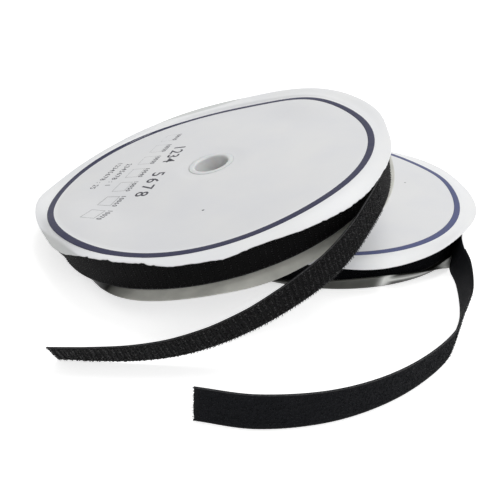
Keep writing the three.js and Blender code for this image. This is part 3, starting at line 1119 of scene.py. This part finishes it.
def make_camera():
    forward = Vector((
        math.sin(CAMERA_YAW) * math.cos(CAMERA_PITCH),
        math.cos(CAMERA_YAW) * math.cos(CAMERA_PITCH),
        -math.sin(CAMERA_PITCH),
    ))
    level = Vector((math.cos(CAMERA_YAW), -math.sin(CAMERA_YAW), 0))
    upward = level.cross(forward)
    right = level * math.cos(CAMERA_ROLL) + upward * math.sin(CAMERA_ROLL)
    top = upward * math.cos(CAMERA_ROLL) - level * math.sin(CAMERA_ROLL)
    turn = Matrix((right, top, -forward)).transposed().to_4x4()
    camera = bpy.data.cameras.new("photo_camera")
    camera.lens = CAMERA_LENS
    camera.sensor_width = 36
    camera.clip_start = 0.01
    camera_object = bpy.data.objects.new("photo_camera", camera)
    bpy.context.scene.collection.objects.link(camera_object)
    camera_object.matrix_world = Matrix.Translation(CAMERA_PLACE) @ turn
    bpy.context.scene.camera = camera_object


bpy.context.scene.view_settings.view_transform = "Standard"
make_camera()
make_world()
make_floor()
make_lamp("high_softbox", (0.35, 0.3, 1.3), 1.0, 8.5)
make_lamp("front_softbox", (0.6, -1.0, 0.9), 0.9, 4.5)

card = card_material("coated_card", (0.755, 0.758, 0.765), (0.86, 0.865, 0.87))
# The hook film is pale, and its colour is raised above its own as painted reflection of the white
# surroundings
hook_film = film_material("hook_card_film", (0.8, 0.8, 0.74), (0.85, 0.85, 0.8), 0.30, 0.25)
# The loop film's dark colour is painted shade and painted reflection of the black tape, and its crease colour
# is a painted highlight
loop_film = film_material("loop_card_film", (0.1, 0.102, 0.09), (0.97, 0.98, 0.95), 0.3, 0.1)
hook_ink = ink_material("dark_navy_ink", (0.042, 0.043, 0.085), 0.5)
loop_ink = ink_material("bright_navy_ink", (0.078, 0.092, 0.21), 0.4)
faint_ink = ink_material("pencil_grey_ink", (0.33, 0.34, 0.34), 0.6)
title_ink = ink_material("title_grey_ink", (0.08, 0.08, 0.095), 0.6)
plastic = plastic_material("moulded_white", (0.74, 0.742, 0.74))
hook_woven = woven_material("hook_ground_weave", (0.003, 0.003, 0.003), (0.010, 0.010, 0.011), ROW_PITCH)
loop_woven = woven_material("loop_ground_weave", (0.003, 0.003, 0.004), (0.009, 0.010, 0.013), 1.1 * MM)
# The hook filament's lighter colour is painted glints, standing in for light caught by the nylon hooks
hook_filament = filament_material("hook_filament", (0.004, 0.004, 0.005), (0.13, 0.13, 0.132), 0.28)
loop_yarn = filament_material("loop_yarn", (0.004, 0.005, 0.006), (0.016, 0.020, 0.024), 0.5)
selvage_yarn = filament_material("selvage_yarn", (0.022, 0.022, 0.023), (0.07, 0.07, 0.073), 0.6)

hook_roll = roll_matrix("hook_roll_turn")
loop_roll = roll_matrix("loop_roll_turn")

make_card(
    "hook_upper_card", "hook_top_disc", hook_roll, 1, hook_top_lift, hook_top_loss, chewed_rim, card,
    hook_film,
)
make_card(
    "hook_lower_card", "hook_bottom_disc", hook_roll, -1, hook_bottom_lift, hook_bottom_loss, whole_rim, card,
    hook_film, TAPE_EDGE,
)
make_card(
    "loop_upper_card", "loop_top_disc", loop_roll, 1, loop_top_lift, loop_top_loss, whole_rim, card,
    loop_film,
)
make_card(
    "loop_lower_card", "loop_bottom_disc", loop_roll, -1, loop_bottom_lift, loop_bottom_loss, whole_rim, card,
    loop_film, TAPE_EDGE,
)
make_ring("hook_upper_ring", hook_roll, "hook_roll", 1, hook_top_lift, RING_SHIFT, hook_ink, 1.7 * MM)
make_ring("loop_upper_ring", loop_roll, "loop_roll", 1, loop_top_lift, (0, 0), loop_ink, 0.2 * MM)
make_ring("hook_lower_ring", hook_roll, "hook_roll", -1, hook_bottom_lift, (0, 0), hook_ink)
make_ring("loop_lower_ring", loop_roll, "loop_roll", -1, loop_bottom_lift, (0, 0), loop_ink)
make_print(hook_roll, hook_top_lift, faint_ink, title_ink)
make_speck("hook_card_speck", hook_roll, "hook_roll", 0.9 * MM, -68.7 * MM, hook_top_lift, title_ink)
make_speck("loop_card_speck", loop_roll, "loop_roll", 75.3 * MM, 11.8 * MM, loop_top_lift, faint_ink)

for name, roll in (("hook", hook_roll), ("loop", loop_roll)):
    make_hub(name + "_rolled_hub", name + "_hub", name + "_roll", roll, plastic)
    core = frame["nodes"][name + "_core"]
    core.data.materials.clear()
    core.data.materials.append(plastic)

make_inner_turns(HOOK_TAPE, hook_roll, hook_woven, hook_top_lift)
make_inner_turns(LOOP_TAPE, loop_roll, loop_woven, loop_top_lift)

hook_route = TapeRoute(HOOK_TAPE, hook_roll)
loop_route = TapeRoute(LOOP_TAPE, loop_roll)

make_strip(
    HOOK_TAPE, hook_route, hook_woven, hook_template, hook_places, hook_filament,
    ("hook_turn_hooks", "hook_free_end_hooks"), selvage_yarn,
)
make_strip(
    LOOP_TAPE, loop_route, loop_woven, loop_template, loop_places, loop_yarn,
    ("loop_turn_loops", "loop_free_end_loops"), selvage_yarn,
)
